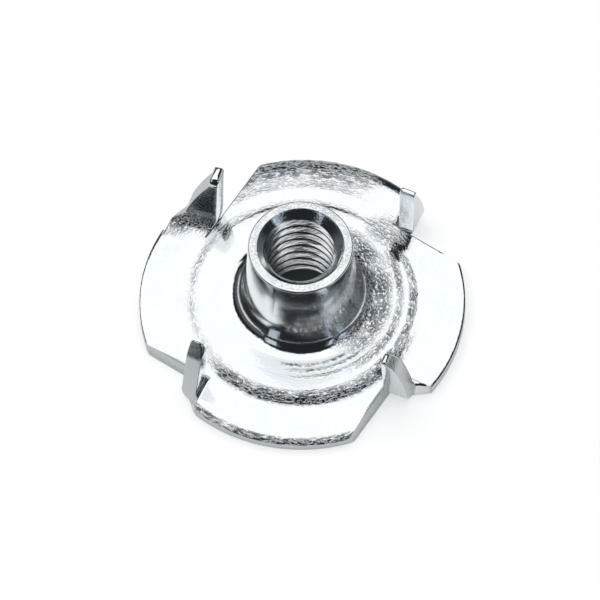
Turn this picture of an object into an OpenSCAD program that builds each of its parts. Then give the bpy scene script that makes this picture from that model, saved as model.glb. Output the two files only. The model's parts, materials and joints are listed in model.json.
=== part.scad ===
// Four-prong tee nut, M5, pressed from one disc of steel sheet.
// The axis of the bore is Z, the flange lies flat on Z = 0 and the barrel and prongs stand up.
// Turned through prong_pitch, every notch and prong falls on the next one.

/* [Flange] */
// Diameter over the four lobes
flange_d = 20; // [19:1:22]
// Thickness of the sheet
sheet_t = 1; // [0.8:0.1:1.1]
// Radius that the punch rolls over at the top of the rim
rim_roll_r = 0.45; // [0.3:0.15:0.6]
// Diameter at the middle of the pressed step
step_d = 13.9; // [13.5:0.2:13.9]
// How far the step lifts the middle of the flange above the lobes
step_h = 0.45; // [0.3:0.05:0.5]
// Slope of the step, in degrees
step_slope = 42; // [38:4:50]
// Radius of the two bends of the step
step_bend_r = 0.3; // [0.2:0.05:0.35]

/* [Barrel] */
// Height from the underside of the lobes to the lip
overall_h = 7.5; // [6.5:0.5:9]
// Outer diameter of the barrel at the lip
barrel_d = 6.4; // [6:0.2:6.8]
// Diameter at which the raised middle starts to bend up into the cone
foot_d = 9.7; // [9.2:0.5:10.2]
// Radius of that bend
foot_bend_r = 1.2; // [0.9:0.15:1.2]
// Slope of the cone between the bend and the barrel, in degrees
cone_slope = 70; // [66:4:74]
// Radius that blends the cone into the barrel
cone_blend_r = 3; // [2:0.5:4]
// Radius on the outer edge of the lip
lip_edge_r = 0.15; // [0.05:0.1:0.25]

/* [Bore] */
// Minor diameter of the M5 thread, which is the wall of the drilled bore
bore_d = 4.134; // [4:0.134:4.268]
// Diameter of the countersink at the lip
mouth_d = 5.34; // [4.94:0.2:5.54]
// Depth of the countersink
mouth_depth = 0.5; // [0.3:0.1:0.7]
// Radius where the bore opens into the hollow under the flange
entry_r = 0.85; // [0.5:0.35:1.2]

/* [Notches] */
// Distance from the axis to the sheared edge of each notch
cut_dist = 7.6; // [7.5:0.05:7.7]
// Direction of the line from the axis square to that edge, in degrees
cut_turn = 54.5; // [53:1.5:56]
// Radius on the corner where the sheared edge meets the rim
corner_r = 0.7; // [0.4:0.3:1]
// Distance from the line through the axis, along the fold, at which the rim steps in to the prong
relief_at = 2.95; // [2.8:0.05:3.05]
// Radius in the corner of that step
relief_r = 0.3; // [0.1:0.1:0.4]

/* [Prongs] */
// Direction of the fold at the foot of each prong, in degrees
fold_turn = 66; // [64:1:67]
// Distance from the axis to the outer face of the prong
fold_dist = 4.25; // [4.1:0.05:4.35]
// Thickness of the prong at its foot
prong_t = 1.05; // [0.9:0.15:1.2]
// Distance along the fold from the foot of the perpendicular to the inner edge
prong_in = 7; // [6.9:0.05:7.1]
// Distance along the fold to the back edge, level with the top of the sheet
prong_out = 8.8; // [8.6:0.05:8.95]
// Height of the tip above the underside of the lobes
prong_h = 5.7; // [5.2:0.5:6.2]
// Radius of the curved back edge, which was once the rim
prong_back_r = 16; // [14:2:20]
// Lean of the back edge at the foot, in degrees
prong_lean = 8; // [6:1:10]
// Inner radius of the fold
fold_r = 0.7; // [0.4:0.3:1]
// Outer radius of the fold, under the foot of the prong
heel_r = 1.2; // [0.8:0.2:1.2]
// Radius of the blunt tip
tip_r = 0.35; // [0.2:0.05:0.4]
// Height of the coined bevel that thins the tip
coin_h = 0.6; // [0.4:0.2:1.2]
// Thickness that the bevel takes off at the tip
coin_cut = 0.6; // [0.2:0.2:0.6]

/* [Hidden] */
$fn = 96;

prong_n = 4;
prong_pitch = 360 / prong_n;

flange_r = flange_d / 2;
barrel_r = barrel_d / 2;
bore_r = bore_d / 2;
mouth_r = mouth_d / 2;
step_r = step_d / 2;
plate_top = sheet_t + step_h;                    // top of the raised middle
hollow_inset = sheet_t * tan(step_slope / 2);    // keeps the sheet even through the step
over = 1;                                        // reach of a cutting shape beyond what it cuts
outside = 1.1;                                   // scale that takes a point of the rim clear of it

// the step, as a straight slope: half its run, its direction, and how far a bend reaches along it
step_run = step_h / 2 / tan(step_slope);
step_reach = step_bend_r * tan(step_slope / 2);
step_down = [cos(step_slope), -sin(step_slope)];

// the raised middle, the cone and the barrel, as three lines, and how far their bends reach along them
foot_reach = foot_bend_r * tan(cone_slope / 2);
blend_reach = cone_blend_r * tan((90 - cone_slope) / 2);
cone_dir = [-cos(cone_slope), sin(cone_slope)];
foot_corner = [foot_d / 2 - foot_reach, plate_top];
blend_corner = [barrel_r, plate_top + (foot_corner[0] - barrel_r) * tan(cone_slope)];

// centre of the arc of the back edge, in the plane of the prong
back_x = prong_out - prong_back_r * cos(prong_lean);
back_z = sheet_t - prong_back_r * sin(prong_lean);

// meeting point of the sheared edge and the outer face of the prong
fold_dir = [cos(fold_turn), sin(fold_turn)];
fold_out = [sin(fold_turn), -cos(fold_turn)];
cut_out = [cos(cut_turn), sin(cut_turn)];
cut_dir = [sin(cut_turn), -cos(cut_turn)];
root = fold_out * fold_dist
     + fold_dir * (cut_dist - fold_dist * (fold_out * cut_out)) / (fold_dir * cut_out);

// corner of the lobe, and the centre of the round on it
lobe_corner = cut_out * cut_dist + cut_dir * sqrt(pow(flange_r, 2) - pow(cut_dist, 2));
round_c = cut_out * (cut_dist - corner_r)
        + cut_dir * sqrt(pow(flange_r - corner_r, 2) - pow(cut_dist - corner_r, 2));

// Half section of a disc with its middle raised: flat out to the step, then down it through two bends
module stepped_half(r_mid, low, high, r_out) {
    upper = [r_mid - step_run, high];
    lower = [r_mid + step_run, low];
    upper_c = upper - [step_reach, step_bend_r];
    difference() {
        polygon([
            [0, 0],
            [0, high],
            upper - [step_reach, 0],
            upper + step_down * step_reach,
            lower - step_down * step_reach,
            lower + [step_reach, 0],
            [r_out, low],
            [r_out, 0]
        ]);
        translate(lower + [step_reach, step_bend_r]) circle(step_bend_r);
    }
    intersection() {
        polygon([upper_c, upper - [step_reach, 0], upper, upper + step_down * step_reach]);
        translate(upper_c) circle(step_bend_r);
    }
}

// Half section of the cone that carries the raised middle up into the barrel, with a bend at each end
module cone_half() {
    difference() {
        polygon([
            [0, sheet_t],
            [foot_corner[0] + foot_reach, sheet_t],
            foot_corner + [foot_reach, 0],
            foot_corner + cone_dir * foot_reach,
            blend_corner - cone_dir * blend_reach,
            blend_corner + [0, blend_reach],
            [0, blend_corner[1] + blend_reach]
        ]);
        translate(foot_corner + [foot_reach, foot_bend_r]) circle(foot_bend_r);
        translate(blend_corner + [cone_blend_r, blend_reach]) circle(cone_blend_r);
    }
}

// Square corner with its round taken out, to be cut away
module corner(r) {
    difference() {
        square(r + over);
        circle(r);
    }
}

// Flange, cone and barrel, with the bore through them
module pressed_blank() {
    difference() {
        union() {
            rotate_extrude() stepped_half(step_r, sheet_t, plate_top, flange_r);
            rotate_extrude() cone_half();
            cylinder(h = overall_h, r = barrel_r);
        }
        // rolled top of the rim
        rotate_extrude() translate([flange_r - rim_roll_r, sheet_t - rim_roll_r]) corner(rim_roll_r);
        // eased outer edge of the lip
        rotate_extrude() translate([barrel_r - lip_edge_r, overall_h - lip_edge_r]) corner(lip_edge_r);
        // hollow that the step leaves under the middle
        translate([0, 0, -over]) rotate_extrude()
            stepped_half(step_r - hollow_inset, over, over + step_h, step_r);
        rotate_extrude() bore_half();
    }
}

// Bore with its countersink at the lip and its rounded entry under the flange
module bore_half() {
    translate([0, -over]) square([bore_r, overall_h + 2 * over]);
    polygon([
        [0, overall_h - mouth_depth],
        [bore_r, overall_h - mouth_depth],
        [mouth_r, overall_h],
        [mouth_r, overall_h + over],
        [0, overall_h + over]
    ]);
    difference() {
        square([bore_r + entry_r, step_h + entry_r]);
        translate([bore_r + entry_r, step_h + entry_r]) circle(entry_r);
    }
}

// Plan of one notch: the wedge between the sheared edge and the prong, with the lobe's corner eased
// and the rim stepped in behind the prong
module notch_plan() {
    polygon([
        root,
        root + cut_dir * flange_r,
        root + (cut_dir + fold_dir) * flange_r,
        root + fold_dir * flange_r
    ]);
    difference() {
        polygon([
            round_c,
            round_c + cut_out * corner_r,
            lobe_corner * outside,
            round_c * outside * flange_r / norm(round_c)
        ]);
        translate(round_c) circle(corner_r);
    }
    rotate(fold_turn) difference() {
        translate([prong_out, -flange_r]) square([flange_r, flange_r - relief_at]);
        translate([prong_out + relief_r, -relief_at - relief_r]) rotate(90) corner(relief_r);
    }
}

// Section across the fold, with the outer face of the prong on the Y axis and the lobe on the +X side
module fold_section() {
    difference() {
        union() {
            square([prong_t + fold_r, sheet_t]);
            square([prong_t, prong_h]);
            difference() {
                square([prong_t + fold_r, sheet_t + fold_r]);
                translate([prong_t + fold_r, sheet_t + fold_r]) circle(fold_r);
            }
        }
        // coined bevel at the tip
        polygon([
            [prong_t, prong_h - coin_h],
            [prong_t - coin_cut, prong_h],
            [prong_t - coin_cut, prong_h + over],
            [prong_t + over, prong_h + over],
            [prong_t + over, prong_h - coin_h]
        ]);
    }
}

// Side view of the prong: upright inner edge, curved back edge, blunt tip
module prong_outline() {
    translate([prong_in, 0]) square([prong_out - prong_in, sheet_t]);
    intersection() {
        translate([back_x, back_z]) circle(prong_back_r, $fn = 360);
        union() {
            translate([prong_in, 0]) square([prong_out - prong_in, prong_h - tip_r]);
            translate([prong_in + tip_r, prong_h - tip_r]) circle(tip_r);
        }
    }
}

// One prong, standing on its own lobe, with the web of its fold running out to the rim
module prong() {
    rotate(fold_turn) translate([0, -fold_dist, 0]) intersection() {
        translate([prong_in, 0, 0]) rotate([90, 0, 90]) linear_extrude(flange_r - prong_in)
            fold_section();
        union() {
            translate([0, prong_t + fold_r, 0]) rotate([90, 0, 0]) linear_extrude(prong_t + fold_r)
                prong_outline();
            translate([0, fold_dist, 0]) linear_extrude(sheet_t + fold_r) web_plan();
        }
    }
}

// Plan of the web, which ends where the rim starts to roll over
module web_plan() {
    intersection() {
        circle(flange_r - rim_roll_r);
        translate([prong_in, -relief_at]) square([flange_r, relief_at]);
    }
}

// Square corner under one fold, from the end of the notch outwards, which the bend rounds off
module heel() {
    rotate(fold_turn) translate([root * fold_dir, -fold_dist, 0]) rotate([90, 0, 90])
        linear_extrude(flange_r) translate([heel_r, heel_r]) rotate(180) corner(heel_r);
}

// The blank with its notches cut and its prongs folded up
module folded_blank() {
    difference() {
        pressed_blank();
        for (i = [0 : prong_n - 1])
            rotate(i * prong_pitch) translate([0, 0, -over]) linear_extrude(sheet_t + 2 * over)
                notch_plan();
    }
    for (i = [0 : prong_n - 1])
        rotate(i * prong_pitch) prong();
}

// The whole pressing
module tee_nut() {
    color("gainsboro") difference() {
        folded_blank();
        for (i = [0 : prong_n - 1])
            rotate(i * prong_pitch) heel();
    }
}

tee_nut();
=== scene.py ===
import json
import math

import bpy
from mathutils import Matrix, Vector

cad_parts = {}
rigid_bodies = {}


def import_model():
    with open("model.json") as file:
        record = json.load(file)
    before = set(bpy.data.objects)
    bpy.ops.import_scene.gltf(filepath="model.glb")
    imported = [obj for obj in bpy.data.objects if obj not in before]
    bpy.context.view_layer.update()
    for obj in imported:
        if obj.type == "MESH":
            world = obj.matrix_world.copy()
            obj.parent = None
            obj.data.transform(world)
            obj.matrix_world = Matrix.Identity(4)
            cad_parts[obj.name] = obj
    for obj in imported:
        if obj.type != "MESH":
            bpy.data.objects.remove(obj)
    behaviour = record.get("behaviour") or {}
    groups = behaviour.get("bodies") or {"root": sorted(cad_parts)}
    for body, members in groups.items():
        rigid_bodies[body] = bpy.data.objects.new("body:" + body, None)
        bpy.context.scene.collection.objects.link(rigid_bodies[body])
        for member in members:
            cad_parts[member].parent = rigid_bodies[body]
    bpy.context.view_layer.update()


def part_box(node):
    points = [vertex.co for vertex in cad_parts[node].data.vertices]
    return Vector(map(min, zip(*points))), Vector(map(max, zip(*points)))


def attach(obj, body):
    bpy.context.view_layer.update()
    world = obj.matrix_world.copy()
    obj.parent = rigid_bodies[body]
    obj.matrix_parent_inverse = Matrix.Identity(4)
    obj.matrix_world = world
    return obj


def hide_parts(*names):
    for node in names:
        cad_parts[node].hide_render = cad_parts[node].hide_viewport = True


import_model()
mm = 0.001            # the nut is modelled in millimetres and brought to metres at the end
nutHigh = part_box("tee_nut")[1] / mm
flangeR = nutHigh.x
overallH = nutHigh.z


cameraView = {
    "elevation": 61.04,   # degrees above the bench
    "roll": 1.91,
    "distance": 500,      # mm
    "lens": 488.4,
    "offset": (0.154, -0.387),   # mm that the nut's middle lies off the optical axis
}


def addCamera(view):
    up = math.radians(view["elevation"])
    roll = math.radians(view["roll"])
    back = Vector((0, -math.cos(up), math.sin(up)))
    level = Vector((1, 0, 0))
    rise = Vector((0, math.sin(up), math.cos(up)))
    right = level * math.cos(roll) - rise * math.sin(roll)
    top = level * math.sin(roll) + rise * math.cos(roll)
    place = back * view["distance"] - right * view["offset"][0] - top * view["offset"][1]
    bpy.ops.object.camera_add()
    camera = bpy.context.object
    turn = Matrix((right, top, back)).transposed().to_4x4()
    camera.matrix_world = Matrix.Translation(place * mm) @ turn
    camera.data.lens = view["lens"]
    camera.data.sensor_width = 36
    bpy.context.scene.camera = camera


addCamera(cameraView)
bpy.context.scene.view_settings.view_transform = "Standard"


def hexColour(text):
    values = [int(text[i:i + 2], 16) / 255 for i in (1, 3, 5)]
    return tuple(v / 12.92 if v <= 0.04045 else ((v + 0.055) / 1.055) ** 2.4 for v in values) + (1,)


def addNode(tree, kind, values=None, stops=()):
    # values are settings, numbers for inputs, and other nodes or outputs to link; stops are a ramp's greys
    node = tree.nodes.new("ShaderNode" + kind)
    for name, value in (values or {}).items():
        if isinstance(value, bpy.types.Node):
            value = value.outputs[0]
        if isinstance(value, bpy.types.NodeSocket):
            tree.links.new(value, node.inputs[name])
        elif isinstance(name, int) or name in node.inputs:
            node.inputs[name].default_value = value
        else:
            setattr(node, name, value)
    if stops:
        places = node.color_ramp.elements
        while len(places) < len(stops):
            places.new(0.5)
        for place, (at, grey) in zip(places, stops):
            place.position = at
            place.color = (grey, grey, grey, 1)
    return node


def newMaterial(name):
    material = bpy.data.materials.new(name)
    material.use_nodes = True
    material.node_tree.nodes.clear()
    return material


def grain(tree, size, stretch=(1, 1, 1), detail=2):
    # noise whose lumps are about this many mm across
    place = addNode(tree, "TexCoord").outputs["Object"]
    spread = addNode(tree, "Mapping", {"Vector": place, "Scale": stretch})
    return addNode(tree, "TexNoise", {
        "Vector": spread, "Scale": 1 / (size * mm), "Detail": detail, "Roughness": 0.55})


def fromAxis(tree):
    # distance from the axis as a share of the flange's radius
    place = addNode(tree, "TexCoord").outputs["Object"]
    flat = addNode(tree, "VectorMath", {"operation": "MULTIPLY", 0: place, 1: (1, 1, 0)})
    far = addNode(tree, "VectorMath", {"operation": "LENGTH", 0: flat})
    return addNode(tree, "Math", {"operation": "DIVIDE", 0: far.outputs["Value"], 1: flangeR * mm})


def drawnGrain(tree, size, along, detail):
    # noise drawn out along circles round the axis, as the die dragged the sheet; its seam lies in a notch
    seam, middleR = math.radians(42), 6 * mm
    place = addNode(tree, "TexCoord").outputs["Object"]
    swung = addNode(tree, "Mapping", {"Vector": place, "Rotation": (0, 0, seam)})
    split = addNode(tree, "SeparateXYZ", {0: swung})
    turn = addNode(tree, "Math", {"operation": "ARCTAN2", 0: split.outputs["Y"], 1: split.outputs["X"]})
    radius = addNode(tree, "Math", {"operation": "MULTIPLY", 0: fromAxis(tree), 1: flangeR * mm})
    run = addNode(tree, "Math", {"operation": "MULTIPLY", 0: turn, 1: middleR * along})
    drawn = addNode(tree, "CombineXYZ", {0: radius, 1: run, 2: split.outputs["Z"]})
    return addNode(tree, "TexNoise", {
        "Vector": drawn, "Scale": 1 / (size * mm), "Detail": detail, "Roughness": 0.55})


def towards(tree, degrees, low, high):
    # 1 on the side of the axis that lies in this direction, 0 on the other
    t = math.radians(degrees)
    place = addNode(tree, "TexCoord").outputs["Object"]
    flat = addNode(tree, "VectorMath", {"operation": "MULTIPLY", 0: place, 1: (1, 1, 0)})
    unit = addNode(tree, "VectorMath", {"operation": "NORMALIZE", 0: flat})
    aim = (math.cos(t), math.sin(t), 0)
    side = addNode(tree, "VectorMath", {"operation": "DOT_PRODUCT", 0: unit, 1: aim})
    return addNode(tree, "MapRange", {
        "interpolation_type": "SMOOTHSTEP", "Value": side.outputs["Value"],
        "From Min": low, "From Max": high})


def around(tree, x, y, z, reach, most):
    # the most at this place, 0 further off than the reach in mm
    place = addNode(tree, "TexCoord").outputs["Object"]
    gap = addNode(tree, "VectorMath", {"operation": "DISTANCE", 0: place, 1: (x * mm, y * mm, z * mm)})
    share = addNode(tree, "Math", {"operation": "DIVIDE", 0: gap.outputs["Value"], 1: reach * mm})
    return addNode(tree, "ValToRGB", {"Fac": share}, [(0.3, most), (1, 0)])


zinc = {
    "bright": ("#dfe6ee", "#efeeea"),
    # painted shade: the hollows of the specks are coloured this darker grey
    "pitShade": "#4f5961",
    "speck": 0.13,         # mm; those of the real plate are finer, these are drawn coarse enough to be seen
    "drawn": 0.5,          # a speck is twice as long as it is wide
    "deep": 0.04,          # mm of the bump
    "least": 0.03,         # share of the specks that shows everywhere
    "gloss": (0.07, 0.03, 0.05),   # roughness, how much it varies, and what the specks add
}

strained = [
    # where the sheet was stretched: how much at each share of the flange's radius, then the direction
    # that it lies in and the cosines between which it fades in
    ([(0.38, 0), (0.41, 1), (0.5, 0.95), (0.58, 0)], (2, 0.3, 0.8)),
    ([(0.57, 0), (0.59, 0.8), (0.61, 0.8), (0.635, 0)], (-16, 0.6, 0.95)),
    ([(0.65, 0), (0.665, 0.8), (0.69, 0.8), (0.71, 0)], (-20, 0.6, 0.95)),
    ([(0.475, 0), (0.485, 0.9), (0.495, 0.9), (0.505, 0)], (-80, 0.8, 0.98)),
    ([(0.515, 0), (0.525, 0.9), (0.535, 0.8), (0.545, 0)], (-70, 0.8, 0.98)),
    ([(0.56, 0), (0.57, 0.6), (0.578, 0.6), (0.59, 0)], (-62, 0.75, 0.98)),
    ([(0.66, 0), (0.69, 1), (0.735, 0.95), (0.765, 0)], (-84, 0.4, 0.8)),
    ([(0.64, 0), (0.68, 0.35), (0.72, 0)], (180, 0.3, 0.9)),
    ([(0.76, 0), (0.79, 0.4), (0.83, 0.3), (0.88, 1), (0.96, 1), (1, 0.4)], (92, 0.8, 0.93)),
    ([(0.955, 0), (0.97, 1), (0.99, 0.9)], (-96, 0.5, 0.8)),
]

# and at the roots of the two far prongs, as x, y, z and reach in mm, then how much
strainedRoots = [(-7.5, 5.9, 1.2, 1.5, 1), (-5.8, 5.4, 1.2, 1.1, 0.6), (5.3, 4.4, 1.2, 1.5, 0.45)]


def zincPlate(z):
    # bright zinc with a blue passivate: a mirror that the drawn steel under it breaks into fine specks,
    # closest where the sheet was stretched, round the foot, on the step and near the rim
    material = newMaterial("bright zinc plate on drawn steel")
    tree = material.node_tree
    radius = fromAxis(tree)
    place = addNode(tree, "TexCoord").outputs["Object"]
    split = addNode(tree, "SeparateXYZ", {0: place})
    up = addNode(tree, "Math", {"operation": "DIVIDE", 0: split.outputs["Z"], 1: overallH * mm})
    lip = addNode(tree, "ValToRGB", {"Fac": radius}, [(0.255, 0), (0.27, 0.22), (0.305, 0.22), (0.315, 0)])
    high = addNode(tree, "ValToRGB", {"Fac": up}, [(0.9, 0), (0.95, 1)])
    amount = addNode(tree, "Math", {"operation": "MULTIPLY", 0: lip, 1: high})
    # the zones lie on the top of the sheet only: its underside is left even
    above = addNode(tree, "ValToRGB", {"Fac": up}, [(0.064, 0), (0.075, 1)])
    low = addNode(tree, "ValToRGB", {"Fac": up}, [(0.215, 1), (0.25, 0)])
    flat = addNode(tree, "Math", {"operation": "MULTIPLY", 0: above, 1: low})
    for stops, direction in strained:
        ring = addNode(tree, "ValToRGB", {"Fac": radius}, stops)
        zone = addNode(tree, "Math", {"operation": "MULTIPLY", 0: ring, 1: towards(tree, *direction)})
        zone = addNode(tree, "Math", {"operation": "MULTIPLY", 0: zone, 1: flat})
        amount = addNode(tree, "Math", {"operation": "MAXIMUM", 0: amount, 1: zone})
    for root in strainedRoots:
        spot = addNode(tree, "Math", {"operation": "MULTIPLY", 0: above, 1: around(tree, *root)})
        amount = addNode(tree, "Math", {"operation": "MAXIMUM", 0: amount, 1: spot})
    patchy = addNode(tree, "ValToRGB", {"Fac": grain(tree, 1.1)}, [(0.35, 0.45), (0.6, 1)])
    amount = addNode(tree, "Math", {"operation": "MULTIPLY", 0: amount, 1: patchy})
    amount = addNode(tree, "Math", {"operation": "MULTIPLY_ADD", 0: amount, 1: 1 - z["least"], 2: z["least"]})
    specks = drawnGrain(tree, z["speck"], z["drawn"], 3)
    peel = addNode(tree, "ValToRGB", {"Fac": specks}, [(0.42, 0), (0.58, 1)])
    # painted shade: the low spots of the specks take the darker pit colour, standing in for shade in the
    # hollows
    hollows = addNode(tree, "ValToRGB", {"Fac": specks}, [(0.45, 1), (0.54, 0.2)])
    pitShading = addNode(tree, "Math", {"operation": "MULTIPLY", 0: amount, 1: hollows})
    waves = addNode(tree, "Math", {"operation": "MULTIPLY", 0: grain(tree, 0.9, detail=1), 1: 0.04})
    height = addNode(tree, "Math", {"operation": "MULTIPLY_ADD", 0: peel, 1: amount, 2: waves})
    bump = addNode(tree, "Bump", {"Distance": z["deep"] * mm, "Strength": 1, "Height": height})
    least, varies, added = z["gloss"]
    gloss = addNode(tree, "Math", {"operation": "MULTIPLY_ADD", 0: grain(tree, 0.6), 1: varies, 2: least})
    gloss = addNode(tree, "Math", {"operation": "MULTIPLY_ADD", 0: amount, 1: added, 2: gloss})
    first, second = [hexColour(text) for text in z["bright"]]
    bright = addNode(tree, "Mix", {"data_type": "RGBA", 0: grain(tree, 1.6), 6: first, 7: second})
    colour = addNode(tree, "Mix", {
        "data_type": "RGBA", 0: pitShading, 6: bright.outputs[2], 7: hexColour(z["pitShade"])})
    metal = addNode(tree, "BsdfPrincipled", {
        "Metallic": 1, "Base Color": colour.outputs[2], "Roughness": gloss, "Normal": bump})
    addNode(tree, "OutputMaterial", {"Surface": metal})
    return material


def shearedZinc():
    # zinc over a sheared edge: satin grey, scored up and down by the punch, with a torn dull strip below
    material = newMaterial("zinc plate on a sheared edge")
    tree = material.node_tree
    scores = grain(tree, 0.12, (1, 1, 0.12), 3)
    tear = grain(tree, 0.2, detail=4)
    place = addNode(tree, "TexCoord").outputs["Object"]
    split = addNode(tree, "SeparateXYZ", {0: place})
    up = addNode(tree, "Math", {"operation": "DIVIDE", 0: split.outputs["Z"], 1: mm})
    torn = addNode(tree, "ValToRGB", {"Fac": up}, [(0.2, 1), (0.42, 0)])
    rough = addNode(tree, "Math", {"operation": "MULTIPLY", 0: tear, 1: torn})
    height = addNode(tree, "Math", {"operation": "MULTIPLY_ADD", 0: rough, 1: 0.8, 2: scores})
    bump = addNode(tree, "Bump", {"Distance": 0.03 * mm, "Strength": 1, "Height": height})
    gloss = addNode(tree, "Math", {"operation": "MULTIPLY_ADD", 0: scores, 1: 0.1, 2: 0.3})
    gloss = addNode(tree, "Math", {"operation": "MULTIPLY_ADD", 0: torn, 1: 0.12, 2: gloss})
    colour = addNode(tree, "Mix", {
        "data_type": "RGBA", 0: tear, 6: hexColour("#c6cccf"), 7: hexColour("#d6d9d8")})
    metal = addNode(tree, "BsdfPrincipled", {
        "Metallic": 1, "Base Color": colour.outputs[2], "Roughness": gloss, "Normal": bump})
    addNode(tree, "OutputMaterial", {"Surface": metal})
    return material


def threadZinc():
    # zinc on a cut thread: the tap leaves fine lines that run round with the turns
    material = newMaterial("zinc plate on a cut thread")
    tree = material.node_tree
    lines = grain(tree, 0.1, (0.12, 0.12, 1), 2)
    bump = addNode(tree, "Bump", {"Distance": 0.02 * mm, "Strength": 1, "Height": lines})
    gloss = addNode(tree, "Math", {"operation": "MULTIPLY_ADD", 0: lines, 1: 0.14, 2: 0.14})
    colour = addNode(tree, "Mix", {
        "data_type": "RGBA", 0: grain(tree, 0.5), 6: hexColour("#cfd5da"), 7: hexColour("#dfe0df")})
    metal = addNode(tree, "BsdfPrincipled", {
        "Metallic": 1, "Base Color": colour.outputs[2], "Roughness": gloss, "Normal": bump})
    addNode(tree, "OutputMaterial", {"Surface": metal})
    return material


finishes = [zincPlate(zinc), shearedZinc(), threadZinc()]
plated, sheared, tapped = range(len(finishes))


def addPrimitive(kind, name, **settings):
    bpy.ops.object.select_all(action="DESELECT")
    getattr(bpy.ops.mesh, "primitive_" + kind + "_add")(**settings)
    piece = bpy.context.object
    piece.name = name
    for finish in finishes:
        piece.data.materials.append(finish)
    return piece


def editing(piece):
    bpy.ops.object.select_all(action="DESELECT")
    piece.select_set(True)
    bpy.context.view_layer.objects.active = piece
    bpy.ops.object.mode_set(mode="EDIT")


def editingDone():
    bpy.ops.object.mode_set(mode="OBJECT")


def trace(name, points):
    line = addPrimitive("plane", name, size=1)
    editing(line)
    bpy.ops.mesh.select_all(action="SELECT")
    bpy.ops.mesh.merge(type="CENTER")
    bpy.ops.transform.translate(value=points[0])
    for a, b in zip(points, points[1:]):
        step = Vector(b) - Vector(a)
        bpy.ops.mesh.extrude_vertices_move(TRANSFORM_OT_translate={"value": step})
    editingDone()
    return line


def weld(piece, gap=1e-4):
    editing(piece)
    bpy.ops.mesh.select_all(action="SELECT")
    bpy.ops.mesh.remove_doubles(threshold=gap)
    bpy.ops.mesh.normals_make_consistent(inside=False)
    editingDone()


def paint(piece, finish, test=lambda face: True):
    for face in piece.data.polygons:
        if test(face):
            face.material_index = finish


sliver = 0.0002          # mm; faces thinner than this are melted into their neighbours


def combine(piece, tool, operation):
    bpy.ops.object.select_all(action="DESELECT")
    piece.select_set(True)
    bpy.context.view_layer.objects.active = piece
    change = piece.modifiers.new(operation.lower(), "BOOLEAN")
    change.operation = operation
    change.solver = "EXACT"
    change.object = tool
    change.material_mode = "TRANSFER"
    bpy.ops.object.modifier_apply(modifier=change.name)
    bpy.data.objects.remove(tool)
    # slivers left by one cut would open seams in the next
    editing(piece)
    bpy.ops.mesh.select_all(action="SELECT")
    bpy.ops.mesh.dissolve_degenerate(threshold=sliver)
    editingDone()


def smoothly(value, low, high):
    x = min(max((value - low) / (high - low), 0), 1)
    return x * x * (3 - 2 * x)


def arc(centre, radius, start, end, steps, squash=1):
    turns = [math.radians(start + (end - start) * i / steps) for i in range(steps + 1)]
    return [(centre[0] + radius * math.cos(t), centre[1] + radius * squash * math.sin(t)) for t in turns]


blank = {
    "sheet": 1.0,
    "middleZ": 1.45,        # top of the raised middle
    "stepR": 6.95,          # middle of the pressed step
    "stepSlope": 36,
    "stepBend": 0.5,
    "stepShift": -0.3,      # the draw ring sat this far off centre in the press, towards -Y
    "stepEase": (5.2, 8.8),  # between these radii the step has spread out, except at the front
    "backLift": 0.13,       # the lobe at the back was pressed down this much less
    "stepFront": (-90, 45, 25),   # direction of the crisp part, its half spread and its fade, in degrees
    "lobeZ": 1.07,          # top of a lobe beside the step
    "lobeFall": 3,          # degrees that the lobe slopes down from there to the rim
    "footR": 4.72,          # where the foot of the barrel starts to rise
    "footBend": 1.1,
    "coneSlope": 68,
    "barrelR": 3.2,
    "draft": 0.24,          # how much wider the barrel is just above its cone
    "barrelBlend": 3.0,
    "lipEdge": 0.12,
    "mouthR": 2.67,
    "mouthDepth": 0.5,
    "boreR": 2.067,
    "boreFoot": 0.85,
    "hollowZ": 0.45,
    "hollowR": 6.6,
    "rimRoll": 1.6,         # how far in from the rim the punch rolled the sheet over, and how deep
    "rimDrop": 0.4,
    "sideEase": 0.6,        # share of that depth missing on the lobes at either side
    "undersideZ": 0.3,      # points below this height belong to the underside
    "shiftSpread": 0.75,    # how far in and out from the step its shift is felt
    "smoothUnder": 32,      # degrees; edges sharper than this stay sharp
    "ringStep": 0.05,
    "turnSteps": 360,
}

drawRings = [
    # rings that the drawing die left round the foot: radius, width and depth in mm, direction and half spread
    # in degrees
    {"r": 4.9, "wide": 0.1, "deep": 0.004, "at": -84, "spread": 60},
    {"r": 5.18, "wide": 0.10, "deep": 0.026, "at": -14, "spread": 48},
    {"r": 5.6, "wide": 0.12, "deep": 0.004, "at": -80, "spread": 70},
]


def stepDown(middle, high, low, slope, bend, steps=6):
    s = math.radians(slope)
    reach = bend * math.tan(s / 2)
    run = (high - low) / math.tan(s)
    top, foot = middle - run / 2 - reach, middle + run / 2 + reach
    upper = arc((top, high - bend), bend, 90, 90 - slope, steps)
    lower = arc((foot, low + bend), bend, 270 - slope, 270, steps)
    return upper + lower


def barrelFlank(b):
    s = math.radians(b["coneSlope"])
    foot = (b["footR"], b["middleZ"] + b["footBend"])
    low = arc(foot, b["footBend"], 270, 270 - b["coneSlope"], 14)
    r0, z0 = low[-1]
    # the cone runs up to a wide blend with the straight barrel
    turn = math.radians(90 - b["coneSlope"])
    blend = b["barrelBlend"]
    waist = b["barrelR"] + b["draft"]
    r1 = waist + blend * (1 - math.cos(turn))
    z1 = z0 + (r0 - r1) * math.tan(s)
    high = arc((waist + blend, z1 + blend * math.sin(turn)), blend, 180 + math.degrees(turn), 183, 8)
    return low + high


def rolledDown(b, r):
    # how far the rim has rolled over at this radius
    part = min(max((r - flangeR + b["rimRoll"]) / b["rimRoll"], 0), 1)
    return b["rimDrop"] * (1 - math.sqrt(1 - part * part))


def sideShare(b, turn):
    # how much of the roll the lobes at the sides lack, in this direction from the axis
    return b["sideEase"] * math.cos(turn) ** 2


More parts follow.
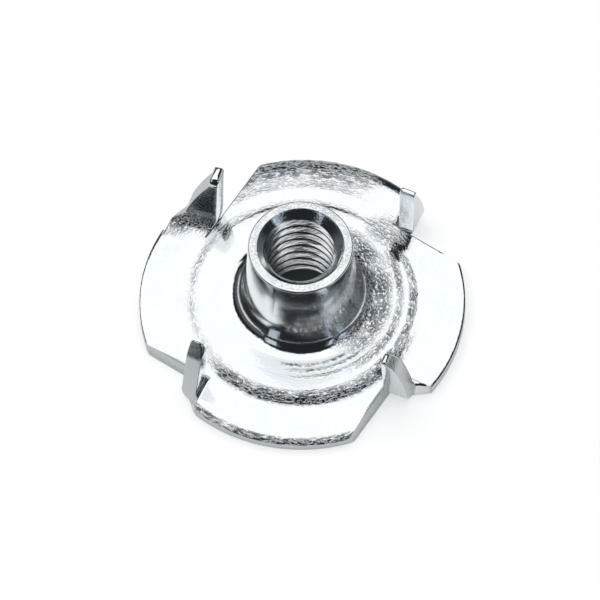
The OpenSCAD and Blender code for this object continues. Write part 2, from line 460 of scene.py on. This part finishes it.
def lobeTop(b, r, turn):
    foot = b["stepR"] + 0.6
    fall = math.tan(math.radians(b["lobeFall"])) * max(r - foot, 0)
    lift = b["backLift"] * max(math.sin(turn), 0) ** 2
    return b["lobeZ"] + lift - fall - rolledDown(b, r) * (1 - sideShare(b, turn))


def easedStep(b, r, turn):
    # height of the top where the step has spread out, and how much of it counts in this direction
    low, high = b["stepEase"]
    part = min(max((r - low) / (high - low), 0), 1)
    lobe = lobeTop(b, max(r, high), turn)
    level = b["middleZ"] + (lobe - b["middleZ"]) * part * part * (3 - 2 * part)
    at, spread, fade = b["stepFront"]
    off = abs((math.degrees(turn) - at + 180) % 360 - 180)
    return level, 0.9 * min(max((off - spread) / fade, 0), 1)


def blankSection(b):
    top = b["middleZ"]
    points = arc((b["boreR"] + b["boreFoot"], b["hollowZ"] + b["boreFoot"]), b["boreFoot"], 180, 270, 8)
    points += [(r, z) for r, z in stepDown(b["hollowR"], b["hollowZ"], 0, b["stepSlope"], b["stepBend"])]
    points += [(flangeR - 0.05, 0), (flangeR, 0.05)]
    slope = math.tan(math.radians(b["lobeFall"]))
    across, deep = b["rimRoll"], b["rimDrop"]
    roll = arc((flangeR - across, -deep), across, 0, 90, 18, deep / across)
    step = list(reversed(stepDown(b["stepR"], top, b["lobeZ"], b["stepSlope"], b["stepBend"])))
    points += [(r, b["lobeZ"] + z - slope * (r - step[0][0])) for r, z in roll]
    points += step
    # the flat of the raised middle carries the draw rings, so it is cut fine enough to hold them
    inner, outer = b["footR"], step[-1][0]
    count = round((outer - inner) / b["ringStep"])
    points += [(outer + (inner - outer) * i / count, top) for i in range(1, count)]
    points += barrelFlank(b)
    lip = b["lipEdge"]
    points += arc((b["barrelR"] - lip, overallH - lip), lip, 0, 90, 5)
    points += [(b["mouthR"], overallH), (b["boreR"], overallH - b["mouthDepth"])]
    return [(r, 0, z) for r, z in points]


def pressBlank(b):
    points = blankSection(b)
    body = trace("teeNut", points + [points[0]])
    editing(body)
    bpy.ops.mesh.select_all(action="SELECT")
    bpy.ops.mesh.spin(steps=b["turnSteps"], angle=2 * math.pi, center=(0, 0, 0), axis=(0, 0, 1))
    editingDone()
    weld(body)
    paint(body, sheared, lambda f: abs(f.normal.z) < 0.02 and f.center.xy.length > flangeR - 0.1)
    return body


def wearPress(b, rings):
    # what a worn die does to the top of the blank: a step off centre and faint rings round the foot
    for v in nut.data.vertices:
        r = v.co.xy.length
        if v.co.z < b["undersideZ"] or r < b["boreR"] + b["boreFoot"]:
            continue
        turn = math.atan2(v.co.y, v.co.x)
        if r > b["stepR"]:
            flat = dict(b, sideEase=0, backLift=0)
            share = smoothly(v.co.z, b["undersideZ"], 2 * b["undersideZ"]) if r > flangeR - 0.001 else 1
            v.co.z += (lobeTop(b, r, turn) - lobeTop(flat, r, turn)) * share
        if b["stepEase"][0] < r < b["stepEase"][1] and v.co.z > 0.8:
            level, share = easedStep(b, r, turn)
            v.co.z += (level - v.co.z) * share
        near = math.exp(-((r - b["stepR"]) / b["shiftSpread"]) ** 2)
        for ring in rings:
            if v.co.z > b["middleZ"] + 0.5:
                break
            off = math.degrees(turn) - ring["at"]
            off = abs((off + 180) % 360 - 180) / ring["spread"]
            fade = max(1 - off * off, 0)
            v.co.z -= ring["deep"] * fade * math.exp(-((r - ring["r"]) / ring["wide"]) ** 2)
        v.co.y += b["stepShift"] * near


nut = pressBlank(blank)
wearPress(blank, drawRings)
print("blank pressed", len(nut.data.polygons))


thread = {
    "pitch": 0.8,
    "crestR": 1.9,         # inside the bore, so that the cut runs clear through the wall
    "rootR": 2.5,
    "rootFlat": 0.1,
    "flank": 30,
    "stepsPerTurn": 96,
    "low": 0.2,
}


def tapBore(t):
    pitch = t["pitch"]
    opening = t["rootFlat"] / 2 + (t["rootR"] - t["crestR"]) * math.tan(math.radians(t["flank"]))
    half = t["rootFlat"] / 2
    turns = math.ceil((overallH - t["low"]) / pitch) + 1
    crest, root = t["crestR"], t["rootR"]
    points = [(crest, 0, -opening), (root, 0, -half), (root, 0, half), (crest, 0, opening)]
    tap = trace("tap", [Vector(p) + Vector((0, 0, t["low"])) for p in points + [points[0]]])
    weld(tap)
    bpy.context.view_layer.objects.active = tap
    screw = tap.modifiers.new("thread", "SCREW")
    screw.screw_offset = pitch
    screw.iterations = turns
    screw.steps = screw.render_steps = t["stepsPerTurn"]
    screw.use_merge_vertices = False
    bpy.ops.object.modifier_apply(modifier="thread")
    editing(tap)
    bpy.ops.mesh.select_mode(type="EDGE")
    bpy.ops.mesh.select_all(action="DESELECT")
    bpy.ops.mesh.select_non_manifold(extend=False, use_wire=False, use_boundary=True, use_multi_face=False,
                                     use_non_contiguous=False, use_verts=False)
    bpy.ops.mesh.fill()
    editingDone()
    weld(tap)
    paint(tap, tapped)
    combine(nut, tap, "DIFFERENCE")


tapBore(thread)
print("bore tapped", len(nut.data.polygons))


def alongOut(degrees):
    t = math.radians(degrees)
    return Vector((math.cos(t), math.sin(t))), Vector((math.sin(t), -math.cos(t)))


def turned(point, degrees):
    t = math.radians(degrees)
    x, y, z = point
    return Vector((x * math.cos(t) - y * math.sin(t), x * math.sin(t) + y * math.cos(t), z))


def loft(name, rings, finish):
    # a closed tube through the rings: each extrusion's new points are paired with the ring below by place
    count = len(rings[0])
    piece = addPrimitive("circle", name, vertices=count, radius=1, fill_type="NGON")
    lift = Vector((0, 0, 1))
    order = list(range(count))
    for i, ring in enumerate(rings):
        if i:
            below = [piece.data.vertices[k].co.copy() for k in order]
            editing(piece)
            bpy.ops.mesh.extrude_region_move(TRANSFORM_OT_translate={"value": lift})
            editingDone()
            fresh = [v.index for v in piece.data.vertices if v.select]
            order = [min(fresh, key=lambda k: (piece.data.vertices[k].co - lift - p).length) for p in below]
        for k, place in zip(order, ring):
            piece.data.vertices[k].co = place
    weld(piece, 1e-6)
    paint(piece, finish)
    return piece


hand = [
    # what the press made of each notch and prong in turn; lengths in mm, foldR inside at the notch and at
    # the rim, rimEnd the degrees of the fold between which the rim steps in to the blade, tip as its width
    # and its round, bevel and coin as height and depth
    {"turn": 0, "fold": 62.5, "out": 4.22, "cut": 7.45, "cutTurn": 54.5, "inner": 6.98,
     "foldR": (0.5, 0.6), "back": (8.74, 0.19, 0.03), "thick": 1.02, "lean": 0.02, "height": 5.8,
     "rimEnd": (25, 60), "tip": (0.34, 0.12), "bevel": (0.7, 0.3), "coin": (0.5, 0.05)},
    {"turn": 90, "fold": 69.2, "out": 4.32, "cut": 7.39, "cutTurn": 55.5, "inner": 6.62,
     "foldR": (1.1, 1.25), "back": (8.94, 0.24, 0.045), "thick": 1.22, "lean": 0.12, "height": 5.7,
     "rimEnd": (38, 68), "tip": (0.6, 0.3), "bevel": (0.5, 0.25), "coin": (0.5, 0.2)},
    {"turn": 180, "fold": 65.0, "out": 4.22, "cut": 7.83, "cutTurn": 54.2, "inner": 7.31,
     "foldR": (0.35, 0.3), "back": (8.85, 0.21, 0.0), "thick": 0.98, "lean": -0.04, "height": 5.4,
     "rimEnd": (8, 45), "tip": (0.3, 0.25), "bevel": (1.0, 0.62), "coin": (0.8, 0.2)},
    {"turn": 270, "fold": 66.7, "out": 4.25, "cut": 7.63, "cutTurn": 55.1, "inner": 7.0,
     "foldR": (0.5, 0.45), "back": (8.57, 0.04, 0.04), "thick": 1.06, "lean": 0.1, "height": 5.4,
     "rimEnd": (2, 36), "tip": (0.36, 0.18), "bevel": (0.9, 0.45), "coin": (0.9, 0.3)},
]

notch = {
    "cornerR": 0.7,
    "under": 0.18,        # the sheared edge leans out towards the underside
    "roll": 0.14,         # the punch rolls the top edge over
    "past": 0.06,         # the sheet is cut this far behind the line where the fold starts
}

prong = {
    "sink": 0.05,          # the root starts this far under the top of the lobe and comes up out of it
    "lift": 0.012,         # and this far above its underside
    "rimSeat": 9.1,        # distance along the fold at which the outer end takes its level from the lobe
    "lead": 0.6,           # what runs on into the flange
    "rim": 9.8,
    "rimRoll": 0.4,
    "corner": 0.12,
    "burr": 0.05,
    "bendEnds": (0, 80),       # degrees of the fold between which the sheet goes from flange to blade
    "cornerEnds": (5, 50),     # and between which its rounded rim turns into a corner
    "innerEnd": 75,            # and where the inner edge is upright
    "roundSteps": 4,
    "leadSteps": 3,
    "foldSteps": 16,
    "bladeSteps": 24,
    "tipSteps": 5,
    "tipTurn": 88,             # degrees of the round at the tip
}


def foldStart(h, radius):
    return h["out"] - h["thick"] - radius


def shearedLine(h, depth, cut):
    # distance along the fold at which the sheared line lies this far out from the middle
    normal = alongOut(h["cutTurn"])[0]
    along, out = alongOut(h["fold"])
    return (cut - depth * out.dot(normal)) / along.dot(normal)


def notchOutline(n, h, grow):
    normal, away = alongOut(h["cutTurn"])
    along, out = alongOut(h["fold"])
    reach = flangeR + 2
    cut = h["cut"] - grow
    corner = n["cornerR"]
    inner = cut - corner
    middle = normal * inner + away * math.sqrt((flangeR - corner) ** 2 - inner ** 2)
    start = math.degrees(math.atan2(normal.y, normal.x))
    end = math.degrees(math.atan2(middle.y, middle.x))
    bend = [Vector(p) for p in arc(middle, corner, start, end, 8)]
    near, far = [foldStart(h, radius) + n["past"] for radius in h["foldR"]]
    root = shearedLine(h, near, cut)
    slope = (far - near) / (prong["rim"] - h["inner"])
    path = [along * root + out * near] + bend
    path += [middle.normalized() * reach * 1.1]
    path += [along * reach * 1.1 + out * (reach * 0.7)]
    path += [along * reach + out * (near + slope * (reach - root))]
    return path


def cutNotch(n, h):
    roll = n["roll"]
    layers = [(-1, -n["under"]), (0.05, -n["under"]), (0.35, -0.04), (blank["sheet"] - roll, 0)]
    for i in range(1, 5):
        t = math.radians(90 * i / 4)
        layers.append((blank["sheet"] - roll + roll * math.sin(t), roll * (1 - math.cos(t))))
    layers.append((blank["sheet"] + 1, roll * 1.6))
    rings = [[turned((p.x, p.y, z), h["turn"]) for p in notchOutline(n, h, grow)] for z, grow in layers]
    tool = loft("shear", rings, sheared)
    combine(nut, tool, "DIFFERENCE")


for h in hand:
    cutNotch(notch, h)
print("notches sheared", len(nut.data.polygons))


def backEdge(h, z):
    edge = h["back"][0] - h["back"][1] * (z - 1) - h["back"][2] * (z - 1) ** 2
    over = max(z - (h["height"] - h["bevel"][0]), 0) / h["bevel"][0]
    return max(edge - over ** 1.6 * h["bevel"][1], h["inner"] + h["tip"][0])


def foldCorners(p, h, degrees, shift):
    # the four corners of the sheet at this turn of the fold: (along, out, up, round)
    t = math.radians(degrees)
    bent = smoothly(degrees, *p["bendEnds"])
    ends = []
    for radius, along in zip(h["foldR"], (h["inner"], p["rimSeat"])):
        start = foldStart(h, radius) + shift
        r = math.hypot(along, start)
        turn = math.radians(h["fold"] + h["turn"]) - math.atan2(start, along)
        level = lobeTop(blank, r, turn) - p["sink"]
        top = level + (blank["sheet"] - level) * bent
        thick = level - p["lift"] + (h["thick"] - level + p["lift"]) * bent
        ends.append((start + radius * math.sin(t), top + radius * (1 - math.cos(t)),
                     start + (radius + thick) * math.sin(t), top + radius - (radius + thick) * math.cos(t)))
    near, far = ends
    root = shearedLine(h, foldStart(h, h["foldR"][0]), h["cut"]) - 0.05
    inner = root + (h["inner"] - root) * smoothly(degrees, 0, p["innerEnd"])
    flat = foldStart(h, h["foldR"][1]) + t * (h["foldR"][1] + 0.4)
    rim = math.sqrt(flangeR ** 2 - flat ** 2) - (flangeR - p["rim"]) * (1 - degrees / 90) * 0.5
    step = smoothly(degrees, *h["rimEnd"])
    blade = backEdge(h, blank["sheet"] + h["foldR"][1] * (1 - math.cos(t)))
    outer = min(rim, p["rim"] + 0.1) * (1 - step) + blade * step
    square = smoothly(degrees, *p["cornerEnds"])
    roll = p["rimRoll"] * (1 - square) + p["corner"] * square
    return [
        (inner, near[0], near[1], p["corner"]),
        (outer, far[0], far[1], roll),
        (outer, far[2], far[3], p["burr"]),
        (inner, near[2], near[3], p["burr"]),
    ]


def bladeCorners(p, h, up):
    corners = []
    tip = h["height"]
    coin = h["coin"]
    for i, (end, face) in enumerate([(0, 0), (1, 0), (1, 1), (0, 1)]):
        foot = blank["sheet"] + h["foldR"][end]
        z = foot + up * (tip - foot)
        place = h["out"] - h["thick"] * (1 - face) + h["lean"] * (z - foot)
        if face == 0:
            place += max(z - (tip - coin[0]), 0) / coin[0] * coin[1]
        edge = backEdge(h, z) if end else h["inner"]
        corners.append((edge, place, z, p["corner"] if face == 0 else p["burr"]))
    return corners


def sectionRing(p, h, corners, inset):
    places = [Vector(c[:3]) for c in corners]
    centre = sum(places, Vector((0, 0, 0))) / 4
    along, away = alongOut(h["fold"])
    ring = []
    for i, c in enumerate(corners):
        here = places[i]
        before, after = places[i - 1] - here, places[(i + 1) % 4] - here
        r = min(c[3] + inset * 0.6, before.length * 0.45, after.length * 0.45)
        a, b = here + before.normalized() * r, here + after.normalized() * r
        for j in range(p["roundSteps"]):
            f = j / (p["roundSteps"] - 1)
            q = a * (1 - f) ** 2 + here * 2 * f * (1 - f) + b * f ** 2
            if inset:
                half = (before.length / 2, after.length / 2)
                wide, deep = abs(q.x - centre.x), abs(q.y - centre.y)
                q.x -= math.copysign(min(inset, wide * 0.9), q.x - centre.x)
                q.y -= math.copysign(min(inset, deep * 0.9), q.y - centre.y)
            flat = along * q.x + away * q.y
            ring.append(turned((flat.x, flat.y, q.z), h["turn"]))
    return ring


def bendProng(p, h):
    rings = []
    for i in range(p["leadSteps"]):
        rings.append(sectionRing(p, h, foldCorners(p, h, 0, -p["lead"] * (1 - i / p["leadSteps"])), 0))
    for i in range(p["foldSteps"] + 1):
        rings.append(sectionRing(p, h, foldCorners(p, h, 90 * i / p["foldSteps"], 0), 0))
    straight = h["height"] - blank["sheet"] - h["foldR"][0]
    end = 1 - h["tip"][1] / straight
    for i in range(1, p["bladeSteps"] + 1):
        rings.append(sectionRing(p, h, bladeCorners(p, h, end * i / p["bladeSteps"]), 0))
    for i in range(1, p["tipSteps"] + 1):
        t = math.radians(p["tipTurn"] * i / p["tipSteps"])
        up = end + (1 - end) * math.sin(t)
        rings.append(sectionRing(p, h, bladeCorners(p, h, up), h["tip"][1] * (1 - math.cos(t))))
    tool = loft("prong", rings, plated)
    along = alongOut(h["fold"] + h["turn"])[0]
    paint(tool, sheared, lambda f: f.normal.xy.dot(along) > 0.6)
    combine(nut, tool, "UNION")


for h in hand:
    bendProng(prong, h)
print("prongs bent", len(nut.data.polygons))


def dropChips():
    # deletes what doesn't hang together with the lip
    top = max(nut.data.vertices, key=lambda v: v.co.z).index
    editing(nut)
    bpy.ops.mesh.select_mode(type="VERT")
    bpy.ops.mesh.select_all(action="DESELECT")
    editingDone()
    nut.data.vertices[top].select = True
    editing(nut)
    bpy.ops.mesh.select_linked()
    bpy.ops.mesh.select_all(action="INVERT")
    bpy.ops.mesh.delete(type="VERT")
    editingDone()


def finishNut():
    dropChips()
    editing(nut)
    bpy.ops.mesh.select_all(action="SELECT")
    bpy.ops.transform.resize(value=(mm, mm, mm), center_override=(0, 0, 0))
    editingDone()
    bpy.ops.object.select_all(action="DESELECT")
    nut.select_set(True)
    bpy.context.view_layer.objects.active = nut
    bpy.ops.object.shade_smooth_by_angle(angle=math.radians(blank["smoothUnder"]))


finishNut()
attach(nut, "root")
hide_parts("tee_nut")


lamps = {
    # places, aims and sizes in mm; a level of 1 shows white in a mirror
    "overhead": {"place": (-110, 198, 600), "aim": (-110, 198, 0), "size": (1180, 1034), "level": 1.22,
                 "colour": "#ffffff"},
    "right card": {"place": (342, -308, 195), "aim": (0, 0, 0), "size": (212, 230), "level": 0.95,
                   "colour": "#d6e4f5"},
    "left card": {"place": (-331, -320, 195), "aim": (0, 0, 0), "size": (125, 230), "level": 0.8,
                  "colour": "#e4edf5"},
}


def addLamp(name, lamp):
    place, aim = Vector(lamp["place"]), Vector(lamp["aim"])
    width, height = lamp["size"]
    bpy.ops.object.light_add(type="AREA", location=place * mm)
    light = bpy.context.object
    light.name = name
    light.rotation_euler = (place - aim).to_track_quat("Z", "Y").to_euler()
    light.data.shape = "RECTANGLE"
    light.data.size, light.data.size_y = width * mm, height * mm
    light.data.color = hexColour(lamp["colour"])[:3]
    light.data.energy = lamp["level"] * math.pi * width * height * mm * mm
    light.visible_camera = False


for name, lamp in lamps.items():
    addLamp(name, lamp)


room = {
    "dark": "#24272b",
    "horizon": "#5d6266",
    "band": (0.26, 0.4),      # height of the light band round the walls, as the sine of its elevation
    "behind": (-0.85, -0.3),  # and where it fades out on the camera's side
}


def addWorld():
    world = bpy.data.worlds.new("studio")
    bpy.context.scene.world = world
    world.use_nodes = True
    tree = world.node_tree
    tree.nodes.clear()
    path = addNode(tree, "LightPath")
    place = addNode(tree, "TexCoord").outputs["Generated"]
    split = addNode(tree, "SeparateXYZ", {0: place})
    low, high = room["band"]
    lift = addNode(tree, "MapRange", {
        "Value": split.outputs["Z"], "From Min": low, "From Max": high, "To Min": 1, "To Max": 0})
    low, high = room["behind"]
    back = addNode(tree, "MapRange", {"Value": split.outputs["Y"], "From Min": low, "From Max": high})
    band = addNode(tree, "Math", {"operation": "MULTIPLY", 0: lift, 1: back})
    colour = addNode(tree, "Mix", {
        "data_type": "RGBA", 0: band, 6: hexColour(room["dark"]), 7: hexColour(room["horizon"])})
    walls = addNode(tree, "Background", {"Color": colour.outputs[2], "Strength": 1})
    white = addNode(tree, "Background", {"Color": (1, 1, 1, 1), "Strength": 1})
    mix = addNode(tree, "MixShader", {0: path.outputs["Is Camera Ray"], 1: walls, 2: white})
    addNode(tree, "OutputWorld", {"Surface": mix})


addWorld()


sweep = {
    "paper": "#e9e9e9",
    "shade": "#5d666b",
    "glow": 0.5,
    "mirrored": 0.6,        # share of the glow that the metal mirrors
    "card": "#3c4043",
    "cardY": (-12.5, -16),  # mm; where the card starts and where it is full
}


def addFloor():
    bpy.ops.object.select_all(action="DESELECT")
    bpy.ops.mesh.primitive_plane_add(size=4, location=(0, 0, -0.00002))
    floor = bpy.context.object
    floor.name = "floor"
    material = newMaterial("white paper sweep")
    tree = material.node_tree
    path = addNode(tree, "LightPath")
    mirrored = path.outputs["Is Glossy Ray"]
    glow = addNode(tree, "Emission", {"Color": (1, 1, 1, 1), "Strength": sweep["glow"]})
    # what lies under the bore is in deep shade
    clear = addNode(tree, "ValToRGB", {"Fac": fromAxis(tree)}, [(0.26, 0), (0.32, 1)])
    colour = addNode(tree, "Mix", {
        "data_type": "RGBA", 0: clear, 6: hexColour(sweep["shade"]), 7: hexColour(sweep["paper"])})
    paper = addNode(tree, "BsdfDiffuse", {"Color": colour.outputs[2]})
    both = addNode(tree, "AddShader", {0: paper, 1: glow})
    some = addNode(tree, "Math", {"operation": "MULTIPLY", 0: mirrored, 1: sweep["mirrored"]})
    seen = addNode(tree, "Math", {"operation": "MAXIMUM", 0: path.outputs["Is Camera Ray"], 1: some})
    share = addNode(tree, "Math", {"operation": "MULTIPLY", 0: clear, 1: seen})
    mix = addNode(tree, "MixShader", {0: share, 1: paper, 2: both})
    # a dark card lies in front, just out of view: it shows in the metal only
    place = addNode(tree, "TexCoord").outputs["Object"]
    split = addNode(tree, "SeparateXYZ", {0: place})
    near, far = sweep["cardY"]
    front = addNode(tree, "MapRange", {
        "Value": split.outputs["Y"], "From Min": near * mm, "From Max": far * mm})
    dark = addNode(tree, "Math", {"operation": "MULTIPLY", 0: front, 1: mirrored})
    card = addNode(tree, "BsdfDiffuse", {"Color": hexColour(sweep["card"])})
    ground = addNode(tree, "MixShader", {0: dark, 1: mix, 2: card})
    addNode(tree, "OutputMaterial", {"Surface": ground})
    floor.data.materials.append(material)


addFloor()
